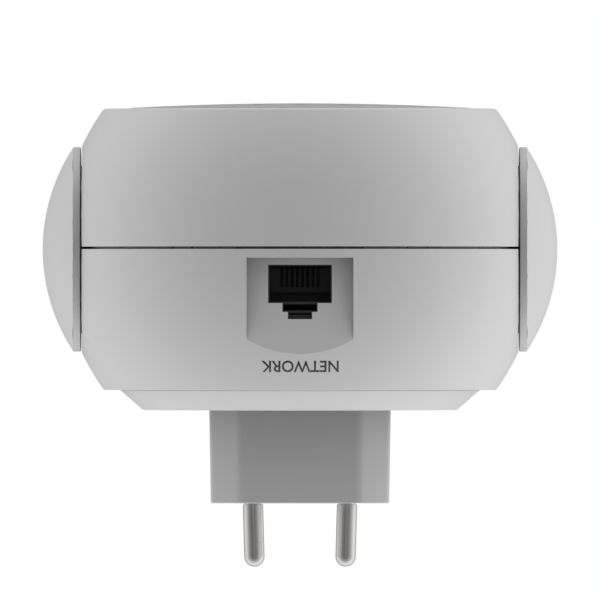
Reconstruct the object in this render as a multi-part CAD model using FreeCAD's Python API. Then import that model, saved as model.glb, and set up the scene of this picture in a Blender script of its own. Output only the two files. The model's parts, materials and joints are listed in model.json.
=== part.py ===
"""Plug-in wifi range extender: a ball-shaped housing that hangs on its own mains plug, with a
paddle antenna that turns on each side.

Row frame, in millimetres: +X to the right as seen from the room, +Y into the wall, +Z up.
The origin is the centre of the plug's end face, between the two pins.
Each function makes one sub-part, and the table at the end names them.
"""

import FreeCAD, Part
import math
import os

V = FreeCAD.Vector
X_AXIS = V(1, 0, 0)
Y_AXIS = V(0, 1, 0)
Z_AXIS = V(0, 0, 1)
FAR = 200.0

# ---- Housing: a ball cut flat at the front, the back and both sides -------------------------
ball_radius = 47.5
half_depth = 27.65
side_flat = 42.85
shell_wall = 2.0
front_wall = 3.0
edge_round = 0.35
seam_gap = 0.5
seam_forward = 0.27

# The front shell's tongue runs just inside the rear shell's wall and closes the seam.
tongue_clearance = 0.08
tongue_thickness = 1.0
tongue_root = 3.0
tongue_reach = 2.5

# ---- Plug ------------------------------------------------------------------------------------
plug_length = 18.35
plug_half_width = 17.55
plug_half_height = 6.65
plug_draft = 0.3
plug_flat_half = 11.7
plug_end_half = 2.3
plug_corner_round = 3.0
plug_end_round = 1.5
plug_flange = 2.0
plug_flange_thickness = 1.85
pin_radius = 2.0
pin_spacing = 18.54
pin_lean = 1.6
pin_length = 12.5
pin_neck = 0.25
pin_stem_radius = 1.7
pin_collar_radius = 2.8
pin_collar_thickness = 1.5
pin_tail_radius = 1.0
pin_tail_beyond_board = 0.8

# ---- Round base between the ball and the plug -----------------------------------------------
base_height = 3.95
base_front_radius = 35.35
base_back_radius = 30.9
base_wall = 2.0
base_screw_ring = 26.0
base_screw_bite = 0.7

# ---- Antennas --------------------------------------------------------------------------------
hinge_gap = 0.25
washer_outer_radius = 16.5
washer_inner_radius = 13.0
washer_play = 0.05
rim_thickness = 1.48
disc_radius = 20.12
dome_height = 6.06
tip_radius = 13.0
tip_height = 69.0
cover_wall = 1.4
spindle_radius = 5.5
spindle_bore_radius = 2.5
bearing_clearance = 0.08
bearing_length = 6.0
bearing_boss_radius = 9.0
stop_pad_radius = 13.5
stop_pad_thickness = 3.4
stop_radius = 10.5
stop_peg_radius = 1.1
stop_play = 0.3
stop_groove_depth = 1.6
spring_washer_thickness = 0.6
clip_thickness = 0.8
clip_outer_radius = 8.0
clip_groove_depth = 0.8
clip_opening = 6.0
axial_play = 0.05
antenna_relief = 0.7
locating_rib = 1.0
locating_rib_height = 1.2
locating_rib_share = 0.78
antenna_board_thickness = 0.8
antenna_board_low = 0.4
antenna_board_wide = 0.58
antenna_board_narrow = 0.4
copper_thickness = 0.1
copper_half_width = 4.0
copper_gap = 2.0
coax_radius = 0.9
coax_clear_of_board = 0.5
coax_bend_share = 0.45
lead_plug_radius = 1.6
lead_plug_height = 3.6
lead_plug_x = 24.5
lead_plug_z = 12.2

# ---- Front panel and lights ------------------------------------------------------------------
panel_radius = 33.2
panel_step = 0.2
panel_dome = 0.9
panel_inlay = 1.5
panel_clearance = 0.1
light_radius = 1.2
light_clearance = 0.1
light_spacing = 8.0
light_height = -20.0
light_bar_half = 1.6
light_bar_thickness = 1.5
light_bar_end = 2.0
light_gap = 0.4
lamp_width = 2.0
lamp_height = 0.9

# ---- Network port ----------------------------------------------------------------------------
recess_half_width = 10.43
recess_front = 1.7
recess_wall = 1.6
port_front = 3.07
port_main_half_width = 6.22
port_main_depth = 7.48
port_step_half_width = 3.43
port_step_depth = 1.73
port_key_half_width = 2.36
port_key_depth = 1.42
port_frame = 0.25
port_key_lip = 0.85
jack_wall = 1.4
jack_length = 18.0
jack_floor = 1.6
comb_depth = 11.8
comb_front = 0.6
comb_back = 5.4
contact_count = 8
contact_pitch = 1.02
contact_slot_width = 0.64
contact_slot_back = 4.35
contact_width = 0.4
contact_thickness = 0.3
contact_seat = 0.6
contact_seat_clearance = 0.15
contact_reach = 0.5
contact_start = 1.4
contact_slant = 9.5

# ---- Boards ----------------------------------------------------------------------------------
board_thickness = 1.2
board_radius = 38.0
board_half_width = 30.0
board_top = 36.0
board_bottom = -37.0
board_screw_x = 25.0
board_screw_z = 22.0
post_radius = 3.0
screw_radius = 1.0
screw_clearance = 0.05
screw_head_radius = 1.9
screw_head_height = 1.3
board_screw_length = 7.0
power_board_gap = 17.4
power_board_thickness = 1.6
power_board_radius = 34.0
power_board_half_width = 28.0
power_board_top = 28.0
power_board_bottom = -24.0
power_screw_x = 21.0
power_screw_z = 19.0
power_screw_length = 5.6
solder_clearance = 0.06

# ---- Parts on the main board -----------------------------------------------------------------
chip_z = 7.0
chip_side = 13.0
chip_height = 1.0
thermal_pad_side = 12.0
thermal_pad_height = 0.5
sink_width = 26.0
sink_length = 24.0
sink_foot = 1.5
fin_count = 7
fin_thickness = 1.2
fin_height = 5.0
memory_x = 21.0
memory_z = -7.0
memory_sizes = (9.0, 10.0, 1.0)
flash_sizes = (6.0, 5.0, 1.6)
can_width = 26.0
can_height = 2.4
can_sheet = 0.3
upper_can_z = 27.5
upper_can_length = 11.0
lower_can_z = -29.5
lower_can_length = 10.0
isolator_sizes = (13.0, 5.0, 7.0)
isolator_z = -18.0
header_x = 20.0
header_z = -11.0
header_pin_count = 4
header_pitch = 2.54
header_pin_side = 0.64
header_pin_beyond = 1.0
header_clearance = 0.04
header_strip = 2.6

# ---- Parts on the power board ----------------------------------------------------------------
core_z = 8.0
core_width = 16.0
core_length = 14.0
core_height = 12.0
core_yoke = 2.5
core_outer_leg = 2.0
core_window = 3.5
coil_clearance = 0.1
coil_overhang = 0.9
mains_can_x = -18.0
mains_can_places = (10.5, -8.5)
mains_can_radius = 4.6
mains_can_height = 13.0
output_can_x = 17.5
output_can_places = (9.5, -1.0)
output_can_radius = 3.8
output_can_height = 11.0
can_edge_round = 0.8
block_z = -14.0
block_width = 13.0
block_length = 6.0
block_height = 11.0
fuse_z = 21.5
fuse_radius = 1.9
fuse_half_length = 6.0
fuse_lift = 0.3
sheet_thickness = 0.4
sheet_half_width = 13.0
sheet_bottom = -4.0
sheet_top = 24.0

# ---- Buttons and vents -----------------------------------------------------------------------
button_behind_board = 4.4
button_half_length = 5.0
button_half_width = 2.0
button_clearance = 0.15
button_proud = 0.5
button_flange = 0.9
button_flange_thickness = 1.0
button_stem_radius = 1.5
switch_half_width = 3.0
switch_depth = 7.4
switch_height = 5.5
switch_above_board = 0.5
plunger_radius = 1.6
plunger_clearance = 0.08
plunger_height = 1.5
reset_x = 13.0
reset_hole_radius = 0.9
vent_count = 4
vent_pitch = 3.0
vent_half_width = 0.7
vent_half_length = 15.0
vent_start = 11.5

# ---- Snap hooks ------------------------------------------------------------------------------
hook_x = 23.0
hook_half_width = 1.8
hook_window_half = 2.0
hook_thickness = 1.8
hook_play = 0.3
hook_reach = 7.5
hook_barb = 0.9
hook_barb_length = 2.0
hook_root = 8.0
hook_root_length = 3.0

# ---- Places worked out from the sizes above ---------------------------------------------------
back_y = -(plug_length + base_height)
ball_y = back_y - half_depth
front_y = ball_y - half_depth
seam_y = ball_y - seam_forward
seam_front = seam_y - seam_gap / 2
seam_back = seam_y + seam_gap / 2
inner_back_y = back_y - shell_wall
tray_x = side_flat + hinge_gap
rim_x = tray_x + rim_thickness
dome_radius = (disc_radius**2 + dome_height**2) / (2 * dome_height)
dome_axis_x = rim_x + dome_height - dome_radius
tip_dome_radius = math.hypot(rim_x - dome_axis_x, tip_radius)
bearing_x = side_flat - bearing_length
clip_x = bearing_x - spring_washer_thickness - 2 * axial_play
spindle_end = clip_x - 2 * clip_thickness
port_floor_z = -side_flat
jack_face_z = port_floor_z + shell_wall
port_y = ball_y + port_front
tub_half_width = recess_half_width + recess_wall
port_depth = port_main_depth + port_step_depth + port_key_depth
board_back_y = port_y - jack_wall
board_front_y = board_back_y - board_thickness
power_front_y = board_back_y + power_board_gap
power_back_y = power_front_y + power_board_thickness
button_y = board_back_y + button_behind_board
panel_curve = (panel_radius**2 + panel_dome**2) / (2 * panel_dome)
screw_places = [(sx * board_screw_x, sz * board_screw_z) for sx in (-1, 1) for sz in (-1, 1)]
power_places = [(sx * power_screw_x, sz * power_screw_z) for sx in (-1, 1) for sz in (-1, 1)]
base_places = [(base_screw_ring * x, base_screw_ring * z) for x, z in ((1, 0), (0, 1), (-1, 0), (0, -1))]
light_places = [i * light_spacing for i in (-1, 0, 1)]
header_places = [header_x + header_pitch * (i - (header_pin_count - 1) / 2) for i in range(header_pin_count)]


# ---- Small helpers ---------------------------------------------------------------------------
def box(x0, x1, y0, y1, z0, z1):
    """A block between two corners."""
    return Part.makeBox(x1 - x0, y1 - y0, z1 - z0, V(x0, y0, z0))


def rod(radius, start, end):
    """A round bar from one point to another."""
    way = end - start
    return Part.makeCylinder(radius, way.Length, start, way)


def tube(outer, inner, start, end):
    """A round bar with a hole along it."""
    return rod(outer, start, end).cut(rod(inner, start, end))


def slab(y0, y1):
    """Everything between two planes across Y."""
    return box(-FAR, FAR, y0, y1, -FAR, FAR)


def joined(first, *others):
    """One solid from several that overlap or touch, with the split faces merged."""
    whole = first
    for other in others:
        whole = whole.fuse(other)
    return whole.removeSplitter()


def group(shapes):
    """Separate solids kept together under one node."""
    return Part.makeCompound(shapes)


def other_side(shape):
    """The same piece on the left, as a mirror image across X."""
    return shape.mirror(V(0, 0, 0), X_AXIS)


def axis_point(x, y=0.0, z=0.0):
    """A point given from the ball's centre in Y and Z, and from the middle plane in X."""
    return V(x, ball_y + y, z)


def rounded_outline(points, radii, y):
    """A closed outline in a plane across Y, with each corner rounded by its own radius."""
    edges = []
    count = len(points)
    last_end = None
    first_start = None
    for i in range(count):
        corner = V(points[i][0], y, points[i][1])
        before = V(points[i - 1][0], y, points[i - 1][1])
        after = V(points[(i + 1) % count][0], y, points[(i + 1) % count][1])
        to_before = (before - corner).normalize()
        to_after = (after - corner).normalize()
        half_angle = to_before.getAngle(to_after) / 2
        setback = radii[i] / math.tan(half_angle)
        start = corner + to_before * setback
        end = corner + to_after * setback
        middle_way = (to_before + to_after).normalize()
        middle = corner + middle_way * (radii[i] / math.sin(half_angle) - radii[i])
        if last_end is None:
            first_start = start
        else:
            edges.append(Part.LineSegment(last_end, start).toShape())
        edges.append(Part.Arc(start, middle, end).toShape())
        last_end = end
    edges.append(Part.LineSegment(last_end, first_start).toShape())
    return Part.Wire(edges)


def pill(half_length, half_width, x, y, z0, z1):
    """An upright block with round ends along X."""
    straight = half_length - half_width
    body = box(x - straight, x + straight, y - half_width, y + half_width, z0, z1)
    ends = [rod(half_width, V(x + s * straight, y, z0), V(x + s * straight, y, z1)) for s in (-1, 1)]
    return joined(body, *ends)


def screw(x, z, head_y, way, length):
    """A pan-head screw with its head's seat at head_y, running along Y in the direction of way."""
    seat = V(x, head_y, z)
    shank = rod(screw_radius, seat, seat + Y_AXIS * (way * length))
    head = rod(screw_head_radius, seat - Y_AXIS * (way * screw_head_height), seat)
    return joined(shank, head)


# ---- Housing ---------------------------------------------------------------------------------
def ball(inset):
    """The housing's form, smaller by inset on every side."""
    radius = ball_radius - inset
    depth = half_depth - inset
    flat = side_flat - inset
    face_radius = math.sqrt(radius**2 - depth**2)
    front_edge = axis_point(face_radius, -depth)
    back_edge = axis_point(face_radius, depth)
    outline = Part.Wire([
        Part.LineSegment(axis_point(0, -depth), front_edge).toShape(),
        Part.Arc(front_edge, axis_point(radius), back_edge).toShape(),
        Part.LineSegment(back_edge, axis_point(0, depth)).toShape(),
        Part.LineSegment(axis_point(0, depth), axis_point(0, -depth)).toShape(),
    ])
    turned = Part.Face(outline).revolve(axis_point(0), Y_AXIS, 360)
    return turned.common(box(-flat, flat, ball_y - FAR, ball_y + FAR, -FAR, FAR))


def bearing_block(side):
    """The boss that carries a spindle, with the thicker pad round it for the stop groove."""
    flat = axis_point(side * side_flat)
    boss = rod(bearing_boss_radius, axis_point(side * bearing_x), flat)
    pad = rod(stop_pad_radius, axis_point(side * (side_flat - stop_pad_thickness)), flat)
    return boss.fuse(pad).common(ball(0))


def bearing_cuts(side):
    """The spindle's bore and the C-shaped groove in which the stop peg travels."""
    bore_radius = spindle_radius + bearing_clearance
    bore = rod(bore_radius, axis_point(side * (bearing_x - 1)), axis_point(side * (side_flat + 1)))
    floor = axis_point(side * (side_flat - stop_groove_depth))
    mouth = axis_point(side * (side_flat + 1))
    half_width = stop_peg_radius + stop_play
    groove = tube(stop_radius + half_width, stop_radius - half_width, floor, mouth)
    groove = groove.common(slab(front_y, ball_y))
    ends = [rod(half_width, floor + Z_AXIS * (s * stop_radius), mouth + Z_AXIS * (s * stop_radius))
            for s in (-1, 1)]
    return [bore, groove] + ends


def tongue():
    """The ring inside the seam, open at the four snap hooks, the bearings and the port's tub."""
    inner = ball(shell_wall + tongue_clearance + tongue_thickness)
    root = ball(shell_wall / 2).cut(inner).common(slab(seam_front - tongue_root, seam_front))
    ring = ball(shell_wall + tongue_clearance).cut(inner)
    ring = ring.common(slab(seam_front, seam_back + tongue_reach))
    for side in (-1, 1):
        at_bearing = rod(stop_pad_radius + tongue_clearance, axis_point(side * bearing_x / 2),
                         axis_point(side * side_flat))
        window_x = side * hook_x
        window = box(window_x - hook_window_half, window_x + hook_window_half,
                     seam_front, seam_back + tongue_reach, -FAR, FAR)
        ring = ring.cut(at_bearing).cut(window)
    at_tub = box(-tub_half_width - hook_play, tub_half_width + hook_play,
                 seam_back - axial_play, seam_back + tongue_reach, -FAR, 0)
    return root.fuse(ring.cut(at_tub))


def hook_top():
    """How high a hook's outer face may reach and still clear the tongue at its outer corner."""
    inside = ball_radius - shell_wall - tongue_clearance - tongue_thickness
    reach_y = hook_reach + tongue_reach
    corner = math.hypot(hook_x + hook_half_width, reach_y)
    return math.sqrt(inside**2 - corner**2) - hook_barb - hook_play


def snap_hook(side, up):
    """A springy arm of the front shell with a barb that catches behind the rear shell's ledge."""
    top = hook_top()
    x0 = side * hook_x - hook_half_width
    x1 = side * hook_x + hook_half_width

    def block(y0, y1, z0, z1):
        low, high = sorted((up * z0, up * z1))
        return box(x0, x1, y0, y1, low, high)

    tip_y = seam_back + hook_reach
    arm = block(seam_front - hook_root, tip_y, top - hook_thickness, top)
    barb = block(tip_y - hook_barb_length, tip_y, top - hook_thickness, top + hook_barb)
    foot = block(seam_front - hook_root, seam_front - hook_root + hook_root_length, top - hook_thickness, FAR)
    return arm.fuse(barb).fuse(foot.common(ball(shell_wall / 2)))


def hook_ledge(side, up):
    """The rear shell's rib that a hook's barb catches behind."""
    ledge_end = seam_back + hook_reach - hook_barb_length - hook_play
    low, high = sorted((up * (hook_top() + hook_play), up * FAR))
    rib = box(side * hook_x - hook_window_half, side * hook_x + hook_window_half,
              seam_back + tongue_reach + hook_play, ledge_end, low, high)
    return rib.common(ball(shell_wall / 2))


def rounded_rim(shape, y):
    """Rounds the outer edge where the ball meets its flat face at y."""
    edges = [e for e in shape.Edges
             if abs(e.BoundBox.YMin - y) < 1e-4 and abs(e.BoundBox.YMax - y) < 1e-4
             and e.BoundBox.ZLength > half_depth]
    return shape.makeFillet(edge_round, edges)


def front_shell():
    """The half of the housing that faces the room."""
    outer = rounded_rim(ball(0), front_y).common(slab(front_y, seam_front))
    cavity = ball(shell_wall).common(slab(front_y + front_wall, seam_back))
    shell = outer.cut(cavity).fuse(tongue())
    for side in (-1, 1):
        shell = shell.fuse(bearing_block(side).common(slab(front_y, seam_front)))
        for up in (-1, 1):
            shell = shell.fuse(snap_hook(side, up))
    for x, z in screw_places:
        shell = shell.fuse(rod(post_radius, V(x, front_y + front_wall / 2, z), V(x, board_front_y, z)))
    for side in (-1, 1):
        for cut in bearing_cuts(side):
            shell = shell.cut(cut)
    for x, z in screw_places:
        pilot_end = V(x, board_back_y - board_screw_length - 1, z)
        shell = shell.cut(rod(screw_radius + screw_clearance, pilot_end, V(x, board_back_y, z)))
    seat = rod(panel_radius + panel_clearance, V(0, front_y - 1, 0), V(0, front_y + panel_inlay, 0))
    shell = shell.cut(seat)
    for x in light_places:
        hole = rod(light_radius + light_clearance, V(x, front_y, light_height),
                   V(x, front_y + front_wall + 1, light_height))
        shell = shell.cut(hole)
    return shell.removeSplitter()


def port_outline(grow, z0, z1):
    """The socket's stepped opening, larger by grow all round: the way in for plug and latch."""
    widths = (port_main_half_width, port_step_half_width, port_key_half_width)
    depths = (port_main_depth, port_step_depth, port_key_depth)
    y = port_y
    steps = []
    for half_width, depth in zip(widths, depths):
        steps.append(box(-half_width - grow, half_width + grow, y - grow, y + depth + grow, z0, z1))
        y += depth
    return joined(*steps)


def rear_shell():
    """The half of the housing that faces the wall, with the network port's recess below."""
    outer = ball(0).common(slab(seam_back, back_y))
    shell = outer.cut(ball(shell_wall))
    tub_back = back_y - shell_wall / 2
    tub = box(-tub_half_width, tub_half_width, seam_back, tub_back, -FAR, jack_face_z)
    shell = shell.fuse(tub.common(ball(0)))
    for side in (-1, 1):
        shell = shell.fuse(bearing_block(side).common(slab(seam_back, back_y)))
        for up in (-1, 1):
            shell = shell.fuse(hook_ledge(side, up))
    for x, z in power_places:
        shell = shell.fuse(rod(post_radius, V(x, power_back_y, z), V(x, back_y - shell_wall / 2, z)))
    for side in (-1, 1):
        for cut in bearing_cuts(side):
            shell = shell.cut(cut)
    recess = box(-recess_half_width, recess_half_width, ball_y + recess_front, back_y - shell_wall,
                 -FAR, port_floor_z)
    shell = shell.cut(recess).cut(port_outline(0, -FAR, jack_face_z + 1))
    for x, z in power_places:
        shell = shell.cut(rod(screw_radius + screw_clearance, V(x, power_front_y, z), V(x, inner_back_y, z)))
    for x, z in base_places:
        shell = shell.cut(rod(screw_radius + screw_clearance, V(x, inner_back_y - 1, z), V(x, back_y + 1, z)))
    for side in (-1, 1):
        x = side * pin_spacing / 2
        shell = shell.cut(rod(pin_collar_radius + 1, V(x, inner_back_y - 1, 0), V(x, back_y + 1, 0)))
    shell = shell.cut(pill(button_half_length + button_clearance, button_half_width + button_clearance,
                           0, button_y, 0, FAR))
    shell = shell.cut(rod(reset_hole_radius, V(reset_x, button_y, 0), V(reset_x, button_y, FAR)))
    for i in range(vent_count):
        for side in (-1, 1):
            vent_x = side * (vent_half_length / 2 + vent_half_width)
            vent = pill(vent_half_length / 2, vent_half_width, vent_x,
                        ball_y + vent_start + i * vent_pitch, ball_radius / 2, FAR)
            shell = shell.cut(vent)
    return shell.removeSplitter()


def panel_blank(radius, back):
    """A disc of the front panel's crowned form, from its back plane to its outer surface."""
    crown = Part.makeSphere(panel_curve, V(0, front_y - panel_step - panel_dome + panel_curve, 0))
    disc = rod(radius, V(0, front_y - panel_step - panel_dome - 1, 0), V(0, back, 0))
    return disc.common(crown)


def front_panel():
    """The crowned round cover let into the front face."""
    panel = panel_blank(panel_radius, front_y + panel_inlay)
    rim = [e for e in panel.Edges
           if abs(e.BoundBox.ZLength - 2 * panel_radius) < 0.1 and e.BoundBox.YMax < front_y]
    panel = panel.makeFillet(panel_step / 2, rim)
    for x in light_places:
        panel = panel.cut(rod(light_radius + light_clearance / 2, V(x, front_y - FAR, light_height),
                              V(x, front_y + panel_inlay, light_height)))
    return panel


def light_pipe():
    """Three clear rods on one bar, which carry the status lights to the front."""
    rods_end = board_front_y - lamp_height - light_gap
    bar_y = front_y + front_wall + light_clearance
    bar_half = light_spacing + light_bar_end
    shape = box(-bar_half, bar_half, bar_y, bar_y + light_bar_thickness,
                light_height - light_bar_half, light_height + light_bar_half)
    crown = Part.makeSphere(panel_curve, V(0, front_y - panel_step - panel_dome + panel_curve, 0))
    for x in light_places:
        whole = rod(light_radius, V(x, front_y - 2 * panel_dome, light_height), V(x, rods_end, light_height))
        shape = shape.fuse(whole.common(crown))
    return shape.removeSplitter()


# ---- Plug and base ---------------------------------------------------------------------------
def plug_outline(y, grow):
    """The plug's eight-sided outline at y. It draws in by the draft from its root to its end."""
    grow = grow + plug_draft * (-y / plug_length)
    flat = plug_flat_half + grow / 2
    wide = plug_half_width + grow
    high = plug_half_height + grow
    end = plug_end_half + grow / 2
    quarter = [(flat, high), (wide, end)]
    points = quarter + [(wide, -end), (flat, -high), (-flat, -high), (-wide, -end)]
    points += [(-wide, end), (-flat, high)]
    corner, side = plug_corner_round, plug_end_round
    radii = [corner, side, side, corner, corner, side, side, corner]
    return rounded_outline(points, radii, y)


def plug_prism(y0, y1, grow):
    """A straight block of the plug's outline at y0."""
    return Part.Face(plug_outline(y0, grow)).extrude(Y_AXIS * (y1 - y0))


def pin_point(side, y, along=0.0):
    """A point on a pin's leaning axis where it crosses y, moved along the axis."""
    slope = math.tan(math.radians(pin_lean))
    way = V(-side * slope, 1, 0).normalize()
    return V(side * (pin_spacing / 2 - slope * y), y, 0) + way * along


def plug_pin(side):
    """A round pin with a domed end and a short neck where it leaves the plug. Its collar anchors
    it in the plug, and its tail reaches the power board."""
    dome_centre = pin_point(side, pin_length - pin_radius)
    shank = rod(pin_radius, pin_point(side, pin_neck), dome_centre)
    dome = Part.makeSphere(pin_radius, dome_centre)
    collar_y = back_y + plug_flange_thickness
    collar = rod(pin_collar_radius, pin_point(side, collar_y - pin_collar_thickness),
                 pin_point(side, collar_y))
    stem = rod(pin_stem_radius, pin_point(side, back_y), pin_point(side, pin_neck))
    tail_x = side * pin_spacing / 2
    tail_end = power_front_y - pin_tail_beyond_board
    tail = rod(pin_tail_radius, V(tail_x + side * tail_offset(), tail_end, 0),
               V(tail_x + side * tail_offset(), back_y + plug_flange_thickness, 0))
    return joined(shank, dome, collar, stem, tail)


def tail_offset():
    """How far out of the pin spacing the leaning axis has come where the straight tail begins."""
    return math.tan(math.radians(pin_lean)) * -back_y


def plug_block():
    """The plug's solid body, moulded round the pins, with the flange that holds it in the base."""
    body = Part.makeLoft([plug_outline(back_y + plug_flange_thickness, 0), plug_outline(0, 0)], True, True)
    flange = plug_prism(back_y + axial_play, back_y + plug_flange_thickness, plug_flange)
    block = body.fuse(flange).removeSplitter()
    for side in (-1, 1):
        block = block.cut(plug_pin(side))
    return block


def base_plate():
    """The round base that carries the plug on the back of the ball."""
    outer = Part.makeCone(base_front_radius, base_back_radius, base_height, V(0, back_y, 0), Y_AXIS)
    hollow_depth = base_height - base_wall
    slope = (base_front_radius - base_back_radius) / base_height
    hollow_front = base_front_radius - base_wall
    hollow = Part.makeCone(hollow_front, hollow_front - slope * hollow_depth, hollow_depth,
                           V(0, back_y, 0), Y_AXIS)
    plate = outer.cut(hollow)
    for x, z in base_places:
        plate = plate.fuse(rod(post_radius, V(x, back_y, z), V(x, -plug_length - base_wall / 2, z)))
    for x, z in base_places:
        plate = plate.cut(rod(screw_radius + screw_clearance, V(x, back_y - 1, z),
                              V(x, -plug_length - base_wall / 2, z)))
    return plate.cut(plug_prism(back_y, 1, axial_play)).removeSplitter()


# ---- Antenna: made on the right and mirrored for the left -------------------------------------
def paddle_form(inset):
    """The paddle's crowned form: a ball at the hinge and a smaller one at the tip, joined by the
    cone that touches both, all on one upright axis inside the housing."""
    big = dome_radius - inset
    small = tip_dome_radius - inset
    lean = math.asin((big - small) / tip_height)

    def at(radius, centre_z, angle):
        return axis_point(dome_axis_x + radius * math.cos(angle), 0, centre_z + radius * math.sin(angle))

    low = at(big, 0, -math.pi / 2)
    bulge = at(big, 0, -math.pi / 6)
    joint_low = at(big, 0, lean)
    joint_high = at(small, tip_height, lean)
    shoulder = at(small, tip_height, math.pi / 4)
    top = at(small, tip_height, math.pi / 2)
    outline = Part.Wire([
        Part.Arc(low, bulge, joint_low).toShape(),
        Part.LineSegment(joint_low, joint_high).toShape(),
        Part.Arc(joint_high, shoulder, top).toShape(),
        Part.LineSegment(top, low).toShape(),
    ])
    return Part.Face(outline).revolve(axis_point(dome_axis_x), Z_AXIS, 360)


def outside_rim():
    """Everything further out than the plane where the cover meets the tray."""
    return box(rim_x, FAR, ball_y - FAR, ball_y + FAR, -FAR, FAR)


def paddle_face(inset):
    """The flat face of the paddle's form in the plane where the cover meets the tray."""
    dome = paddle_form(inset).common(outside_rim())
    flat = [f for f in dome.Faces if f.BoundBox.XLength < 1e-6]
    return flat[0]


def antenna_cover():
    """The crowned outer shell of the paddle."""
    return paddle_form(0).cut(paddle_form(cover_wall)).common(outside_rim())


def antenna_tray():
    """The flat inner shell, in one piece with the hollow spindle it turns on and its stop peg."""
    plate = paddle_face(0).extrude(X_AXIS * -rim_thickness)
    inner_edges = [e for e in plate.Edges if e.BoundBox.XLength < 1e-6
                   and abs(e.BoundBox.XMin - tray_x) < 1e-4]
    plate = plate.makeFillet(hinge_gap, inner_edges)
    arm_side = box(tray_x - 1, tray_x + antenna_relief, ball_y - FAR, ball_y + FAR, 0, FAR)
    hub = rod(disc_radius + hinge_gap, axis_point(tray_x - 2), axis_point(rim_x))
    plate = plate.cut(arm_side.cut(hub))
    spindle = rod(spindle_radius, axis_point(spindle_end), axis_point(tray_x + rim_thickness / 2))
    peg_z = Z_AXIS * stop_radius
    peg = rod(stop_peg_radius, axis_point(side_flat - stop_groove_depth + stop_play) + peg_z,
              axis_point(tray_x + rim_thickness / 2) + peg_z)
    tray = plate.fuse(spindle).fuse(peg).fuse(board_ribs())
    groove = tube(spindle_radius + 1, spindle_radius - clip_groove_depth,
                  axis_point(clip_x - clip_thickness - axial_play), axis_point(clip_x))
    bore = rod(spindle_bore_radius, axis_point(spindle_end - 1), axis_point(rim_x + 1))
    return tray.cut(groove).cut(bore).removeSplitter()


def board_ribs():
    """The curved rib on the tray, open towards the tip, that the aerial board sits inside."""
    outer = locating_rib_share * disc_radius
    ring = tube(outer, outer - locating_rib, axis_point(rim_x), axis_point(rim_x + locating_rib_height))
    below_tip = box(0, FAR, ball_y - FAR, ball_y + FAR, -FAR, 0)
    return ring.common(below_tip).common(paddle_form(cover_wall + tongue_clearance))


def antenna_board():
    """The printed aerial board, which lies on the tray, with a hole where the lead comes through."""
    wide = antenna_board_wide * disc_radius
    narrow = antenna_board_narrow * tip_radius
    low = -antenna_board_low * disc_radius
    high = tip_height - tip_radius
    corners = [(-wide, low), (wide, low), (narrow, high), (-narrow, high), (-wide, low)]
    outline = Part.makePolygon([axis_point(rim_x, y, z) for y, z in corners])
    board = Part.Face(outline).extrude(X_AXIS * antenna_board_thickness)
    return board.cut(rod(spindle_bore_radius, axis_point(tray_x), axis_point(FAR)))


def antenna_copper():
    """The two arms of the aerial, as copper on the board's outer side."""
    face_x = rim_x + antenna_board_thickness
    start = spindle_bore_radius + copper_gap
    arm = (tip_height - tip_radius - start) / 2 - copper_gap
    arms = []
    for z in (start, start + arm + copper_gap):
        arms.append(box(face_x, face_x + copper_thickness, ball_y - copper_half_width,
                        ball_y + copper_half_width, z, z + arm))
    return group(arms)


def retaining_clip():
    """The open ring that snaps into the spindle's groove and holds the antenna on."""
    start = axis_point(clip_x - clip_thickness)
    end = axis_point(clip_x - axial_play / 2)
    ring = tube(clip_outer_radius, spindle_radius - clip_groove_depth + axial_play, start, end)
    half_opening = clip_opening / 2
    opening = box(0, side_flat, ball_y - half_opening, ball_y + half_opening, -FAR, 0)
    return ring.cut(opening)


def friction_washer():
    """The spring ring between bearing and clip, whose drag holds the antenna where it is put."""
    return tube(clip_outer_radius, spindle_radius + 2 * bearing_clearance,
                axis_point(clip_x + axial_play), axis_point(bearing_x))


def pivot_washer():
    """The thin dark slip ring between the housing's side flat and the paddle."""
    return tube(washer_outer_radius, washer_inner_radius, axis_point(side_flat),
                axis_point(tray_x - washer_play))


def lead_route():
    """The corners of the aerial lead's way: along the spindle, over the board's edge, to its plug."""
    over_board = board_front_y - ball_y - coax_radius - coax_clear_of_board
    plug_y = board_front_y - ball_y - lead_plug_height / 2
    return [
        axis_point(rim_x + antenna_board_thickness / 2),
        axis_point(spindle_end - 2 * coax_radius),
        axis_point(lead_plug_x + 2 * lead_plug_radius, over_board - coax_clear_of_board, 0),
        axis_point(lead_plug_x, plug_y, lead_plug_radius),
        axis_point(lead_plug_x, plug_y, lead_plug_z - lead_plug_radius),
    ]


def antenna_lead():
    """The coaxial lead from the main board, through the hollow spindle, to the aerial board."""
    route = lead_route()
    runs = [(b - a).Length for a, b in zip(route, route[1:])]
    edges = []
    at = route[0]
    for i in range(1, len(route) - 1):
        back = (route[i - 1] - route[i]).normalize()
        ahead = (route[i + 1] - route[i]).normalize()
        half_turn = (math.pi - back.getAngle(ahead)) / 2
        setback = coax_bend_share * min(runs[i - 1], runs[i])
        radius = setback / math.tan(half_turn)
        start = route[i] + back * setback
        end = route[i] + ahead * setback
        middle_way = (back + ahead).normalize()
        middle = route[i] + middle_way * (radius / math.cos(half_turn) - radius)
        edges.append(Part.LineSegment(at, start).toShape())
        edges.append(Part.Arc(start, middle, end).toShape())
        at = end
    edges.append(Part.LineSegment(at, route[-1]).toShape())
    path = Part.Wire(edges)
    section = Part.Wire(Part.makeCircle(coax_radius, route[0], route[1] - route[0]))
    return path.makePipeShell([section], True, False).cut(lead_plug())


def lead_plug():
    """The small press-on connector where the lead meets the main board."""
    foot = V(lead_plug_x, board_front_y, lead_plug_z)
    return rod(lead_plug_radius, foot, foot - Y_AXIS * lead_plug_height)


# ---- Main board and what it carries ------------------------------------------------------------
def board_blank(radius, half_width, z0, z1, y0, y1):
    """A round board cut flat at its sides, top and bottom."""
    disc = rod(radius, V(0, y0, 0), V(0, y1, 0))
    return disc.common(box(-half_width, half_width, y0, y1, z0, z1))


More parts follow.
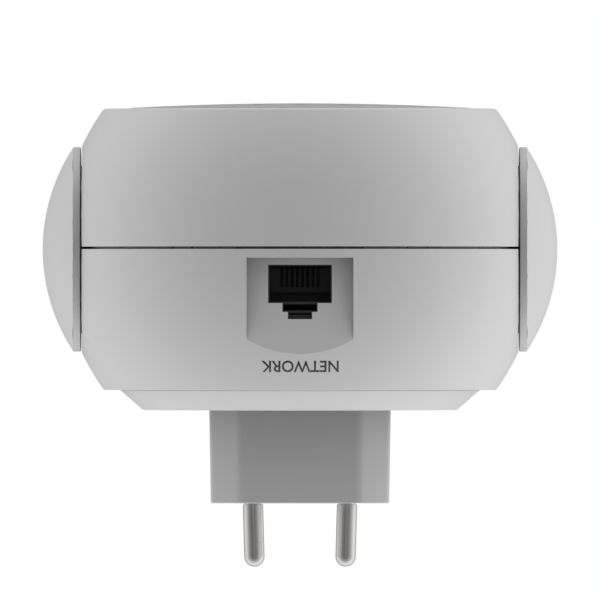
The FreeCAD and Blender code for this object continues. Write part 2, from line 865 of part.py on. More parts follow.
def main_board():
    """The board with the processor, the radios and the network port."""
    board = board_blank(board_radius, board_half_width, board_bottom, board_top, board_front_y, board_back_y)
    for x, z in screw_places:
        board = board.cut(rod(screw_radius + screw_clearance, V(x, board_front_y, z), V(x, board_back_y, z)))
    for x in header_places:
        board = board.cut(header_pin(x, header_clearance))
    return board


def on_front(x, z, width, height, thickness, lift=0.0):
    """A block on the main board's front side, centred at x and z."""
    y1 = board_front_y - lift
    return box(x - width / 2, x + width / 2, y1 - thickness, y1, z - height / 2, z + height / 2)


def processor():
    """The main chip."""
    return on_front(0, chip_z, chip_side, chip_side, chip_height)


def thermal_pad():
    """The soft pad between the main chip and its heat sink."""
    return on_front(0, chip_z, thermal_pad_side, thermal_pad_side, thermal_pad_height, chip_height)


def heat_sink():
    """An aluminium block with upright fins on the main chip."""
    foot_lift = chip_height + thermal_pad_height
    foot = on_front(0, chip_z, sink_width, sink_length, sink_foot, foot_lift)
    step = (sink_width - fin_thickness) / (fin_count - 1)
    fins = [on_front((i - (fin_count - 1) / 2) * step, chip_z, fin_thickness, sink_length, fin_height,
                     foot_lift + sink_foot) for i in range(fin_count)]
    return joined(foot, *fins)


def memory_chips():
    """The working memory and the flash chip."""
    return group([on_front(-memory_x, memory_z, *memory_sizes), on_front(memory_x, memory_z, *flash_sizes)])


def radio_shields():
    """Two tinned cans over the radios, open towards the board."""
    cans = []
    for z, length in ((upper_can_z, upper_can_length), (lower_can_z, lower_can_length)):
        can = on_front(0, z, can_width, length, can_height)
        inside = on_front(0, z, can_width - 2 * can_sheet, length - 2 * can_sheet, can_height - can_sheet)
        cans.append(can.cut(inside))
    return group(cans)


def status_leds():
    """Three small lamps behind the light pipe."""
    return group([on_front(x, light_height, lamp_width, lamp_width, lamp_height) for x in light_places])


def board_screws():
    """The four screws that hold the main board to the front shell."""
    return group([screw(x, z, board_back_y, -1, board_screw_length) for x, z in screw_places])


def ethernet_jack():
    """The black modular socket, with its stepped mouth facing down and a comb for its contacts."""
    half_width = port_main_half_width + jack_wall
    back = port_y + port_depth + jack_wall
    top = jack_face_z + jack_length
    ceiling = top - jack_floor
    body = box(-half_width, half_width, board_back_y, back, jack_face_z, top)
    lip = box(-half_width, half_width, port_y + port_depth - port_key_lip, back, jack_face_z, ceiling)
    body = body.cut(port_outline(-port_frame, jack_face_z - 1, ceiling).cut(lip))
    comb = box(-half_width, half_width, port_y + comb_front, port_y + comb_back,
               jack_face_z + comb_depth, ceiling)
    body = body.fuse(comb).removeSplitter()
    for i in range(contact_count):
        body = body.cut(contact_slot(i))
    return body


def contact_x(i):
    """The place of a contact across the socket."""
    return (i - (contact_count - 1) / 2) * contact_pitch


def contact_slot(i):
    """The slot in the socket's front wall, and on through the comb, that a contact lies in."""
    half = contact_slot_width / 2
    seat = port_y - contact_seat - contact_seat_clearance
    end = jack_face_z + jack_length - jack_floor
    return box(contact_x(i) - half, contact_x(i) + half, seat, port_y + contact_slot_back,
               jack_face_z + contact_start - contact_seat_clearance, end)


def ethernet_contacts():
    """Eight sprung wires: each starts in the front wall and slants into its slot of the comb."""
    wires = []
    low = jack_face_z + contact_start
    bend = low + contact_slant
    high = jack_face_z + jack_length - jack_floor - contact_seat_clearance
    front = port_y - contact_seat
    inner = port_y + contact_reach
    thick = contact_thickness
    outline = [(front, low), (front + thick, low), (inner + thick, bend), (inner + thick, high),
               (inner, high), (inner, bend), (front, low)]
    for i in range(contact_count):
        x = contact_x(i) - contact_width / 2
        wire = Part.Face(Part.makePolygon([V(x, y, z) for y, z in outline])).extrude(X_AXIS * contact_width)
        wires.append(wire)
    return group(wires)


def ethernet_transformer():
    """The isolating transformer block beside the network port."""
    width, thickness, length = isolator_sizes
    return box(-width / 2, width / 2, board_back_y, board_back_y + thickness,
               isolator_z - length / 2, isolator_z + length / 2)


def header_pin(x, grow):
    """One power pin, from in front of the main board to behind the power board."""
    half = header_pin_side / 2 + grow
    return box(x - half, x + half, board_front_y - header_pin_beyond, power_back_y + header_pin_beyond,
               header_z - half, header_z + half)


def header_pins():
    """The four pins that carry power from board to board."""
    return group([header_pin(x, 0) for x in header_places])


def header_block():
    """The plastic strip that holds the power pins upright on the main board."""
    half_length = header_pin_count * header_pitch / 2
    strip = box(header_x - half_length, header_x + half_length, board_back_y, board_back_y + header_strip,
                header_z - header_strip / 2, header_z + header_strip / 2)
    for x in header_places:
        strip = strip.cut(header_pin(x, 0))
    return strip


def switch_body(x):
    """A push switch lying on the main board's top edge, without its plunger."""
    top = board_top + switch_above_board
    body = box(x - switch_half_width, x + switch_half_width, board_back_y, board_back_y + switch_depth,
               top - switch_height, top)
    well_foot = V(x, button_y, top - 2 * plunger_height)
    well = rod(plunger_radius + plunger_clearance, well_foot, V(x, button_y, top))
    return body.cut(well)


def plunger(x):
    """The stem of a push switch, sunk in its well by its travel and a little more."""
    top = board_top + switch_above_board
    sunk = plunger_height / 2
    return rod(plunger_radius, V(x, button_y, top - sunk), V(x, button_y, top + plunger_height))


def wps_button():
    """The pairing button in the top of the rear shell, with the stem that presses its switch."""
    stem_low = board_top + switch_above_board + plunger_height
    inside = ball_radius - shell_wall
    corner_y = button_y - ball_y + button_half_width + button_flange
    corner = math.hypot(button_half_length + button_flange, corner_y)
    flange_top = math.sqrt(inside**2 - corner**2) - 2 * button_clearance
    flange_low = flange_top - button_flange_thickness
    skin = Part.makeSphere(ball_radius + button_proud, axis_point(0))
    cap = pill(button_half_length, button_half_width, 0, button_y, flange_low, FAR).common(skin)
    rim = [e for e in cap.Edges if e.BoundBox.ZMin > inside and e.BoundBox.ZLength < 1]
    cap = cap.makeFillet(button_proud / 2, rim)
    flange = pill(button_half_length + button_flange, button_half_width + button_flange,
                  0, button_y, flange_low, flange_top)
    stem = rod(button_stem_radius, V(0, button_y, stem_low), V(0, button_y, flange_top))
    return joined(cap, flange, stem)


# ---- Power board -------------------------------------------------------------------------------
def power_board():
    """The board that turns mains into low voltage, soldered on the plug pins' tails."""
    board = board_blank(power_board_radius, power_board_half_width, power_board_bottom, power_board_top,
                        power_front_y, power_back_y)
    for x, z in power_places:
        board = board.cut(rod(screw_radius + screw_clearance, V(x, power_front_y, z), V(x, power_back_y, z)))
    for side in (-1, 1):
        x = side * (pin_spacing / 2 + tail_offset())
        hole = rod(pin_tail_radius + solder_clearance, V(x, power_front_y, 0), V(x, power_back_y, 0))
        board = board.cut(hole)
    for x in header_places:
        board = board.cut(header_pin(x, header_clearance))
    return board


def on_power(x, z, width, height, thickness, lift=0.0):
    """A block on the power board's front side, centred at x and z."""
    y1 = power_front_y - lift
    return box(x - width / 2, x + width / 2, y1 - thickness, y1, z - height / 2, z + height / 2)


def transformer_core():
    """The ferrite frame of the power transformer, with its middle leg between two windows."""
    core = on_power(0, core_z, core_width, core_length, core_height)
    window_x = core_width / 2 - core_outer_leg - core_window / 2
    for side in (-1, 1):
        core = core.cut(on_power(side * window_x, core_z, core_window, core_length + 1,
                                 core_height - 2 * core_yoke, core_yoke))
    return core


def transformer_winding():
    """The taped coil round the core's middle leg."""
    leg = core_width - 2 * (core_outer_leg + core_window) + 2 * coil_clearance
    across = core_width - 2 * (core_outer_leg + coil_clearance)
    height = core_height - 2 * (core_yoke + coil_clearance)
    length = core_length + 2 * (coil_clearance + coil_overhang)
    coil = on_power(0, core_z, across, length, height, core_yoke + coil_clearance)
    return coil.cut(on_power(0, core_z, leg, core_length + 2 * coil_clearance, core_height))


def upright_can(x, z, radius, height):
    """A round capacitor that stands on the power board, with a rounded far edge."""
    can = rod(radius, V(x, power_front_y, z), V(x, power_front_y - height, z))
    rim = [e for e in can.Edges if abs(e.BoundBox.YMax - (power_front_y - height)) < 1e-4]
    return can.makeFillet(can_edge_round, rim)


def mains_capacitors():
    """The two high-voltage reservoir capacitors."""
    return group([upright_can(mains_can_x, z, mains_can_radius, mains_can_height) for z in mains_can_places])


def output_capacitors():
    """The two low-voltage smoothing capacitors."""
    return group([upright_can(output_can_x, z, output_can_radius, output_can_height)
                  for z in output_can_places])


def suppression_capacitor():
    """The interference-suppression block across the mains."""
    return on_power(0, block_z, block_width, block_length, block_height)


def fuse():
    """The mains fuse, lying just clear of the power board on its leads."""
    y = power_front_y - fuse_lift - fuse_radius
    return rod(fuse_radius, V(-fuse_half_length, y, fuse_z), V(fuse_half_length, y, fuse_z))


def insulating_sheet():
    """The clear sheet on the transformer that keeps the two boards apart."""
    y1 = power_front_y - core_height
    return box(-sheet_half_width, sheet_half_width, y1 - sheet_thickness, y1, sheet_bottom, sheet_top)


def power_screws():
    """The four screws that hold the power board to the rear shell."""
    return group([screw(x, z, power_front_y, 1, power_screw_length) for x, z in power_places])


def base_screws():
    """The four screws that hold the base from inside the rear shell."""
    length = shell_wall + base_height - base_wall + base_screw_bite
    return group([screw(x, z, inner_back_y, 1, length) for x, z in base_places])


def build():
    """Every sub-part by its node name."""
    pieces = {
        "front_shell": front_shell(),
        "rear_shell": rear_shell(),
        "front_panel": front_panel(),
        "light_pipe": light_pipe(),
        "base_plate": base_plate(),
        "plug_block": plug_block(),
        "plug_pin_left": plug_pin(-1),
        "plug_pin_right": plug_pin(1),
        "base_screws": base_screws(),
        "main_board": main_board(),
        "board_screws": board_screws(),
        "processor": processor(),
        "thermal_pad": thermal_pad(),
        "heat_sink": heat_sink(),
        "memory_chips": memory_chips(),
        "radio_shields": radio_shields(),
        "status_leds": status_leds(),
        "ethernet_jack": ethernet_jack(),
        "ethernet_contacts": ethernet_contacts(),
        "ethernet_transformer": ethernet_transformer(),
        "header_pins": header_pins(),
        "header_block": header_block(),
        "wps_switch": switch_body(0),
        "wps_plunger": plunger(0),
        "wps_button": wps_button(),
        "reset_switch": switch_body(reset_x),
        "reset_plunger": plunger(reset_x),
        "power_board": power_board(),
        "power_screws": power_screws(),
        "transformer_core": transformer_core(),
        "transformer_winding": transformer_winding(),
        "mains_capacitors": mains_capacitors(),
        "output_capacitors": output_capacitors(),
        "suppression_capacitor": suppression_capacitor(),
        "mains_fuse": fuse(),
        "insulating_sheet": insulating_sheet(),
    }
    right = {
        "antenna_tray": antenna_tray(),
        "antenna_cover": antenna_cover(),
        "antenna_board": antenna_board(),
        "antenna_copper": antenna_copper(),
        "antenna_clip": retaining_clip(),
        "friction_washer": friction_washer(),
        "pivot_washer": pivot_washer(),
        "antenna_lead": antenna_lead(),
        "lead_plug": lead_plug(),
    }
    for name, shape in right.items():
        pieces[name + "_right"] = shape
        pieces[name + "_left"] = other_side(shape)
    return pieces


os.makedirs("parts", exist_ok=True)
for node, shape in build().items():
    shape.exportStep("parts/" + node + ".step")
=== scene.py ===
import bpy
import json
import math
from collections import Counter
from mathutils import Matrix, Vector


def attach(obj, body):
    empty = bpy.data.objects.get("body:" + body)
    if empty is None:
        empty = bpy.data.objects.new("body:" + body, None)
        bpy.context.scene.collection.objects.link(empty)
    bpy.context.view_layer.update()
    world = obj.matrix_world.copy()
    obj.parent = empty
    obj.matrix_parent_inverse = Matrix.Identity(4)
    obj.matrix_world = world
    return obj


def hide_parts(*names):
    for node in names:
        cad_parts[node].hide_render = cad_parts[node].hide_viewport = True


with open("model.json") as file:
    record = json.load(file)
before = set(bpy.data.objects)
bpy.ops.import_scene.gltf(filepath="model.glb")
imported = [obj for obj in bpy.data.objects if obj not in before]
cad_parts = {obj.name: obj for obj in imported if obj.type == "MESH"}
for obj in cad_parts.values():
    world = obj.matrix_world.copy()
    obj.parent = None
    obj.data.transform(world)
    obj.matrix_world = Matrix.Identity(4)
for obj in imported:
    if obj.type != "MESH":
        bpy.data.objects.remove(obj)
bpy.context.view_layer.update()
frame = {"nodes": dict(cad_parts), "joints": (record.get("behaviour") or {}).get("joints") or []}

nodes = frame["nodes"]
MM = 0.001

# Camera. It stands under the object and looks straight up, with the room side at the top of the
# picture. It is far off with a very long lens, so that parallel edges stay parallel.
ball = Vector((0, frame["joints"][0]["pos_m"][1], 0))
picture_width = 118.1 * MM
picture_middle = ball + Vector((0, 9.96 * MM, 0))
lens_half_angle = math.radians(0.62)
camera_distance = picture_width / 2 / math.tan(lens_half_angle)
bpy.ops.object.camera_add()
camera = bpy.context.object
camera.matrix_world = Matrix((
    (1, 0, 0, picture_middle.x),
    (0, -1, 0, picture_middle.y),
    (0, 0, -1, -camera_distance),
    (0, 0, 0, 1)))
camera.data.sensor_width = 36
camera.data.lens = camera.data.sensor_width / 2 / math.tan(lens_half_angle)
camera.data.clip_start = camera_distance - 75 * MM
camera.data.clip_end = camera_distance * 4
bpy.context.scene.camera = camera
bpy.context.scene.view_settings.view_transform = "Standard"
# Matt surfaces are lit by the tent alone and not by each other, which keeps the recess, the seam
# and the plug as deep in tone as they are on the real one.
bpy.context.scene.cycles.diffuse_bounces = 0


# Studio. A white tent lit from all round: brightest just above the height of the object, weak
# from below apart from a small soft light straight under the object, and a little stronger on the
# right and on the wall side.
def srgb(code):
    """An sRGB hex value as linear light."""
    channels = [int(code[i:i + 2], 16) / 255 for i in (0, 2, 4)]
    return [c / 12.92 if c <= 0.04045 else ((c + 0.055) / 1.055) ** 2.4 for c in channels] + [1]


def add(tree, kind, inputs=None, **settings):
    """Adds one node with its links and settings."""
    node = tree.nodes.new(kind)
    for name, value in settings.items():
        setattr(node, name, value)
    for name, value in (inputs or {}).items():
        if isinstance(value, bpy.types.NodeSocket):
            tree.links.new(value, node.inputs[name])
        else:
            node.inputs[name].default_value = value
    return node


world = bpy.data.worlds.new("white_tent")
bpy.context.scene.world = world
world.use_nodes = True
tent = world.node_tree
tent.nodes.clear()
way = add(tent, "ShaderNodeSeparateXYZ", {0: add(tent, "ShaderNodeTexCoord").outputs["Generated"]})
height = add(tent, "ShaderNodeMapRange", {"Value": way.outputs["Z"], 1: -1.0})
glow = add(tent, "ShaderNodeValToRGB", {"Fac": height.outputs[0]})
glow_steps = [(0.0, 0.3), (0.006, 0.3), (0.015, 0.09), (0.08, 0.18), (0.2, 0.325), (0.3, 0.49),
              (0.4, 0.685), (0.5, 0.875), (0.6, 0.984), (0.7, 0.89), (0.85, 0.506), (1.0, 0.1)]
glow.color_ramp.elements.remove(glow.color_ramp.elements[0])
glow.color_ramp.elements[0].position = 0.0
glow.color_ramp.elements[0].color = [glow_steps[0][1]] * 3 + [1]
for place, level in glow_steps[1:]:
    glow.color_ramp.elements.new(place).color = [level] * 3 + [1]
total = glow.outputs["Color"]
for way_out, share in (("X", 0.147), ("Y", 0.123)):
    facing = add(tent, "ShaderNodeMath", {0: way.outputs[way_out], 1: 0.0}, operation="MAXIMUM")
    total = add(tent, "ShaderNodeMath", {0: facing.outputs[0], 1: share, 2: total},
                operation="MULTIPLY_ADD").outputs[0]
seen = add(tent, "ShaderNodeLightPath").outputs["Is Camera Ray"]
tent_light = add(tent, "ShaderNodeBackground", {"Color": total, "Strength": 1.2})
backdrop = add(tent, "ShaderNodeBackground", {"Color": srgb("FFFFFF"), "Strength": 1.0})
either = add(tent, "ShaderNodeMixShader", {0: seen, 1: tent_light.outputs[0], 2: backdrop.outputs[0]})
add(tent, "ShaderNodeOutputWorld", {"Surface": either.outputs[0]})

# Floor. A sheet of matt white paper under the object, below the lowest sweep of the antennas.
# The object hangs in the air over it, as it does on a wall.
floor_z = -88 * MM
bpy.ops.object.select_all(action="DESELECT")
bpy.ops.mesh.primitive_plane_add(size=3, location=(0, 0, floor_z))
floor = bpy.context.object
floor.name = "paper_floor"
bpy.ops.object.transform_apply()
floor.visible_diffuse = False
floor.visible_glossy = False
floor.visible_shadow = False
paper = bpy.data.materials.new("matt_white_paper")
paper.use_nodes = True
tree = paper.node_tree
place = add(tree, "ShaderNodeTexCoord").outputs["Object"]
fibre = add(tree, "ShaderNodeTexNoise", {"Vector": place, "Scale": 0.9 / MM, "Detail": 3})
tone = add(tree, "ShaderNodeMix", {"Factor": fibre.outputs["Fac"], 6: srgb("F6F6F4"), 7: srgb("F1F1EF")},
           data_type="RGBA")
shader = tree.nodes["Principled BSDF"]
tree.links.new(tone.outputs[2], shader.inputs["Base Color"])
shader.inputs["Roughness"].default_value = 0.9
floor.data.materials.append(paper)


# Housing shells: two halves of a ball, injection-moulded in white ABS with a fine spark-eroded
# texture and snapped together. The front one carries a thin tongue that closes the seam.
def start(name, primitive, **where):
    bpy.ops.object.select_all(action="DESELECT")
    getattr(bpy.ops.mesh, "primitive_" + primitive + "_add")(**where)
    piece = bpy.context.object
    piece.name = name
    bpy.ops.object.transform_apply()
    return piece


def edit(piece, mode="VERT"):
    bpy.ops.object.select_all(action="DESELECT")
    bpy.context.view_layer.objects.active = piece
    piece.select_set(True)
    bpy.ops.object.mode_set(mode="EDIT")
    bpy.ops.mesh.select_mode(type=mode)
    bpy.ops.mesh.select_all(action="SELECT")


def close_edit():
    bpy.ops.mesh.select_all(action="SELECT")
    bpy.ops.mesh.remove_doubles(threshold=0.001 * MM)
    bpy.ops.mesh.normals_make_consistent(inside=False)
    bpy.ops.object.mode_set(mode="OBJECT")


def turned(name, outline, steps=224, centre=(0, 0, 0), axis=(0, 1, 0)):
    """Turns an outline round an axis through a point near the ball's centre. Each point of the
    outline is a distance from the axis and a place along it, in millimetres."""
    axis = Vector(axis)
    outward = axis.orthogonal().normalized()
    middle = ball + Vector(centre) * MM
    places = [middle + (outward * r + axis * along) * MM for r, along in outline]
    piece = start(name, "plane", size=MM, location=places[0])
    edit(piece)
    bpy.ops.mesh.merge(type="CENTER")
    for here, there in zip(places, places[1:]):
        bpy.ops.mesh.extrude_region_move(TRANSFORM_OT_translate={"value": there - here})
    bpy.ops.mesh.select_all(action="SELECT")
    bpy.ops.mesh.spin(steps=steps, angle=2 * math.pi, center=middle, axis=axis)
    close_edit()
    return piece


def sliced(piece, *planes):
    """Cuts away what lies beyond each plane, given as a point in millimetres from the ball's
    centre and an outward way, and closes the cut."""
    edit(piece)
    for point, way in planes:
        bpy.ops.mesh.select_all(action="SELECT")
        bpy.ops.mesh.bisect(plane_co=ball + Vector(point) * MM, plane_no=way, use_fill=True, clear_outer=True)
    close_edit()
    return piece


def finished(piece, kind, **settings):
    modifier = piece.modifiers.new(kind.lower(), kind)
    for name, value in settings.items():
        setattr(modifier, name, value)
    bpy.ops.object.select_all(action="DESELECT")
    bpy.context.view_layer.objects.active = piece
    piece.select_set(True)
    bpy.ops.object.modifier_apply(modifier=modifier.name)


def mended(piece):
    """Merges points that a cut left apart, fills its pinholes and makes all faces triangles,
    because a many-sided face that isn't quite flat leaves holes in the next cut."""
    edit(piece)
    bpy.ops.mesh.remove_doubles(threshold=0.0005 * MM)
    bpy.ops.mesh.dissolve_degenerate(threshold=0.0005 * MM)
    bpy.ops.mesh.select_all(action="SELECT")
    bpy.ops.mesh.fill_holes(sides=8)
    bpy.ops.mesh.select_all(action="SELECT")
    bpy.ops.mesh.quads_convert_to_tris(quad_method="FIXED", ngon_method="BEAUTY")
    bpy.ops.object.mode_set(mode="OBJECT")


def closed(piece):
    """Whether every edge has a face on both sides."""
    sides = Counter(key for face in piece.data.polygons for key in face.edge_keys)
    return all(count == 2 for count in sides.values())


def combined(piece, *others, operation="DIFFERENCE"):
    """Adds or cuts other pieces. A cut that leaves the mesh open is made again from the start,
    with the other piece moved by two thousandths of a millimetre."""
    nudge = Matrix.Translation(Vector((2, 1, 2)) * 0.001 * MM)
    mended(piece)
    for other in others:
        mended(other)
        for attempt in range(5):
            before = piece.data.copy()
            finished(piece, "BOOLEAN", object=other, operation=operation, solver="EXACT")
            mended(piece)
            if closed(piece):
                break
            if attempt < 4:
                piece.data = before
                other.data.transform(nudge)
        bpy.data.objects.remove(other)
    return piece


def block(name, low, high):
    """A block between two corners, in millimetres from the ball's centre."""
    low, high = Vector(low), Vector(high)
    return start(name, "cube", size=MM, location=ball + (low + high) / 2 * MM, scale=high - low)


def long_hole(name, middle, half_length, half_width, low, high):
    """An upright bar with round ends along X, in millimetres from the ball's centre."""
    x, y = middle
    corners = 32
    bar = start(name, "cylinder", vertices=corners, radius=half_width * MM, depth=(high - low) * MM,
                location=ball + Vector((x, y, (low + high) / 2)) * MM, rotation=(0, 0, math.pi / corners))
    for vertex in bar.data.vertices:
        vertex.co.x += math.copysign((half_length - half_width) * MM, vertex.co.x - x * MM)
    return bar


def smooth(piece, angle=30):
    bpy.ops.object.select_all(action="DESELECT")
    bpy.context.view_layer.objects.active = piece
    piece.select_set(True)
    bpy.ops.object.shade_smooth_by_angle(angle=math.radians(angle))


def arc(radius, start_y, end_y, count):
    """Points of a ball of that radius from one place along the axis to another."""
    places = [start_y + (end_y - start_y) * i / count for i in range(count + 1)]
    return [(math.sqrt(radius**2 - y**2), y) for y in places]


def side_cuts(x):
    return [((x, 0, 0), (1, 0, 0)), ((-x, 0, 0), (-1, 0, 0))]


ball_radius, half_depth, side_flat, wall = 47.5, 27.65, 42.85, 2.0
seam_front, seam_back, edge_break = -0.52, -0.02, 0.12
seat_radius, seat_depth, front_wall = 33.3, 1.5, 3.0
past = 60
face_radius = math.sqrt(ball_radius**2 - half_depth**2)
rounded_face = [(face_radius - 0.35, -half_depth), (face_radius - 0.1, -half_depth + 0.08)]
front_shell = turned("front_shell_moulding", [
    (0, -half_depth + seat_depth), (seat_radius, -half_depth + seat_depth),
    (seat_radius, -half_depth + edge_break), (seat_radius + edge_break, -half_depth)]
    + rounded_face + arc(ball_radius, -half_depth + 0.4, seam_front, 30) + [(0, seam_front)])
sliced(front_shell, *side_cuts(side_flat))
cavity_radius, cavity_front, cavity_back = ball_radius - wall, -half_depth + front_wall, half_depth - wall
cavity = turned("cavity", [(0, cavity_front)] + arc(cavity_radius, cavity_front, 1.0, 20) + [(0, 1.0)], 96)
sliced(cavity, *side_cuts(side_flat - wall))
combined(front_shell, cavity)

# The tongue stands 2.5 mm into the rear shell. It is open where the four snap hooks pass and where
# the network socket's housing is.
tongue_root, tongue_outer, tongue_inner, tongue_start, tongue_end = 45.6, 45.42, 44.42, -3.0, 2.48
tongue = turned("tongue", [
    (tongue_root, tongue_start), (tongue_root, -0.9), (tongue_outer, -0.7), (tongue_outer, tongue_end),
    (tongue_inner, tongue_end), (tongue_inner, tongue_start), (tongue_root, tongue_start)])
sliced(tongue, *side_cuts(40.7))
hook_x, hook_half, window_half, port_half = 23, 1.8, 2, 12.4
opened = [block("hook_window", (x - window_half, -0.5, -past), (x + window_half, 5, past))
          for x in (hook_x, -hook_x)]
combined(tongue, *opened, block("port_room", (-port_half, -0.5, -past), (port_half, 5, 0)))
combined(front_shell, tongue, operation="UNION")
hook_outer, hook_inner, hook_start, hook_end = 45.3, 43.5, -4, 7
for x in (-hook_x, hook_x):
    hook = turned("snap_hooks", [(hook_outer, hook_start)] + arc(hook_outer, -3, hook_end, 6)
                  + arc(hook_inner, hook_end, -3, 6) + [(hook_inner, hook_start), (hook_outer, hook_start)])
    sliced(hook, ((x + hook_half, 0, 0), (1, 0, 0)), ((x - hook_half, 0, 0), (-1, 0, 0)))
    combined(front_shell, hook, operation="UNION")

# Bearings: a boss and a thicker pad behind each flat side, half in each shell. The stop peg runs
# in a half-circle groove round the bore, with a round end above and below.
boss_radius, boss_start, pad_radius, pad_start, in_wall = 9, 36.85, 13.5, 39.45, 42
bore_radius, peg_circle, end_radius = 5.58, 10.5, 1.36
groove_low, groove_high, groove_floor = 9.1, 11.9, 41.25


def with_bearings(shell, seam, outward):
    """Adds both bearing bosses to a shell and cuts the bores and the stop grooves. A front shell
    faces its seam with outward 1, a rear one with -1."""
    for side in (-1, 1):
        axis = (side, 0, 0)
        boss = turned("bearing_boss", [
            (0, boss_start), (boss_radius, boss_start), (boss_radius, pad_start), (pad_radius, pad_start),
            (pad_radius, in_wall), (0, in_wall)], 96, axis=axis)
        sliced(boss, ((0, seam - 0.05 * outward, 0), (0, outward, 0)))
        combined(shell, boss, operation="UNION")
        bore = turned("bearing_bore", [(0, 35.8), (bore_radius, 35.8), (bore_radius, 44), (0, 44)], 96,
                      axis=axis)
        ends = [turned("groove_end", [(0, 41.3), (end_radius, 41.3), (end_radius, 44.2), (0, 44.2)], 24,
                       (0, 0, z), axis) for z in (-peg_circle, peg_circle)]
        combined(shell, bore, *ends)
        if outward > 0:
            groove = turned("stop_groove", [
                (groove_low, groove_floor), (groove_high, groove_floor), (groove_high, 44.4),
                (groove_low, 44.4), (groove_low, groove_floor)], 96, axis=axis)
            combined(shell, sliced(groove, ((0, -0.3, 0), (0, 1, 0))))


with_bearings(front_shell, seam_front, 1)
smooth(front_shell, 12)

# Rear shell, with the socket's recess and stepped opening below, and on top the two rows of vents,
# the pairing button's hole and the pinhole of the reset switch.
rear_shell = turned("rear_shell_moulding", [(0, seam_back)]
                    + arc(ball_radius, seam_back, half_depth - edge_break, 30)
                    + [(face_radius - edge_break, half_depth), (0, half_depth)])
sliced(rear_shell, *side_cuts(side_flat))
cavity = turned("cavity", [(0, -1.0)] + arc(cavity_radius, -1.0, cavity_back, 20) + [(0, cavity_back)], 96)
sliced(cavity, *side_cuts(side_flat - wall))
tub_half, jack_face, recess_half, recess_front, recess_floor = 12.03, 40.85, 10.43, 1.7, 42.85
combined(cavity, block("tub", (-tub_half, -3, -past), (tub_half, cavity_back + 1, -jack_face)))
port_steps = [block("port_step", (-half, front, -44), (half, back, -40))
              for half, front, back in ((6.22, 3.07, 10.55), (3.43, 10.0, 12.28), (2.36, 12.0, 13.7))]
vent_x, vent_y, vent_pitch, vent_half_length, vent_half_width = 8.2, 11.5, 3.0, 7.5, 0.7
vents = [long_hole("vent", (side * vent_x, vent_y + vent_pitch * i), vent_half_length, vent_half_width,
                   24, past) for i in range(4) for side in (-1, 1)]
button_y, button_half_length, button_half_width, reset_x, reset_radius = 6.07, 5.15, 2.15, 13, 0.9
combined(rear_shell, cavity,
         block("recess", (-recess_half, recess_front, -past), (recess_half, cavity_back, -recess_floor)),
         *port_steps, *vents,
         long_hole("button_hole", (0, button_y), button_half_length, button_half_width, 20, past),
         start("reset_hole", "cylinder", vertices=24, radius=reset_radius * MM, depth=20 * MM,
               location=ball + Vector((reset_x, button_y, 45)) * MM))
with_bearings(rear_shell, seam_back, -1)
smooth(rear_shell, 12)


def moulded(name, colour, shade, roughness, grain, relief):
    """A moulded plastic. Its eroded grain is given by width and depth in millimetres, and its
    colour drifts a little towards a second shade over some millimetres."""
    material = bpy.data.materials.new(name)
    material.use_nodes = True
    tree = material.node_tree
    shader = tree.nodes["Principled BSDF"]
    place = add(tree, "ShaderNodeTexCoord").outputs["Object"]
    pits = add(tree, "ShaderNodeTexNoise",
               {"Vector": place, "Scale": 1 / (grain * MM), "Detail": 2, "Roughness": 0.6})
    drift = add(tree, "ShaderNodeTexNoise", {"Vector": place, "Scale": 1 / (14 * MM), "Detail": 3})
    tint = add(tree, "ShaderNodeMix", {"Factor": drift.outputs["Fac"], 6: srgb(colour), 7: srgb(shade)},
               data_type="RGBA")
    gloss = add(tree, "ShaderNodeMapRange",
                {"Value": pits.outputs["Fac"], 3: roughness - 0.05, 4: roughness + 0.05})
    bump = add(tree, "ShaderNodeBump",
               {"Height": pits.outputs["Fac"], "Strength": 0.5, "Distance": relief * MM})
    tree.links.new(tint.outputs[2], shader.inputs["Base Color"])
    tree.links.new(gloss.outputs[0], shader.inputs["Roughness"])
    tree.links.new(bump.outputs[0], shader.inputs["Normal"])
    shader.inputs["IOR"].default_value = 1.53
    return material


def dressed(piece, material, body, slot, *replaced):
    piece.data.materials.clear()
    piece.data.materials.append(material)
    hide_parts(*replaced)
    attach(piece, body)


# White ABS from an eroded mould: pits 0.2 mm wide break the shine into a soft, even sheen.
white_abs = moulded("white_abs_eroded", "E7E7E7", "E3E3E4", 0.42, 0.22, 0.004)
dressed(front_shell, white_abs, "housing", "housing_white", "front_shell")
dressed(rear_shell, white_abs, "housing", "housing_white", "rear_shell")


# Front panel: a crowned disc of polished ABS pressed into the seat of the front shell. The clear
# light guides end in its three holes.
panel_radius, panel_step, panel_dome, panel_break = 33.2, 0.2, 0.89, 0.1
crown_radius = (panel_radius**2 + panel_dome**2) / (2 * panel_dome)


def crown(r):
    return -half_depth - panel_step - panel_dome + crown_radius - math.sqrt(crown_radius**2 - r**2)


panel_edge = -half_depth - panel_step
front_panel = turned("front_panel_disc", [
    (0, -half_depth + seat_depth), (panel_radius, -half_depth + seat_depth),
    (panel_radius, panel_edge + panel_break), (panel_radius - 0.03, panel_edge + 0.03)]
    + [(r, crown(r)) for r in (33.1, 32.8, 28, 22, 16, 10, 5, 0)])
light_radius, light_pitch, light_z = 1.25, 8, -20
combined(front_panel, *[
    start("light_hole", "cylinder", vertices=32, radius=light_radius * MM, depth=8 * MM,
          rotation=(math.pi / 2, 0, 0), location=ball + Vector((x, -half_depth, light_z)) * MM)
    for x in (-light_pitch, 0, light_pitch)])
smooth(front_panel)
# Polished white ABS: no grain to speak of, so the soft boxes show in it as broad clear shapes.
polished_abs = moulded("white_abs_polished", "E9E9E9", "E6E6E7", 0.2, 0.8, 0.0008)
dressed(front_panel, polished_abs, "housing", "panel_white", "front_panel")


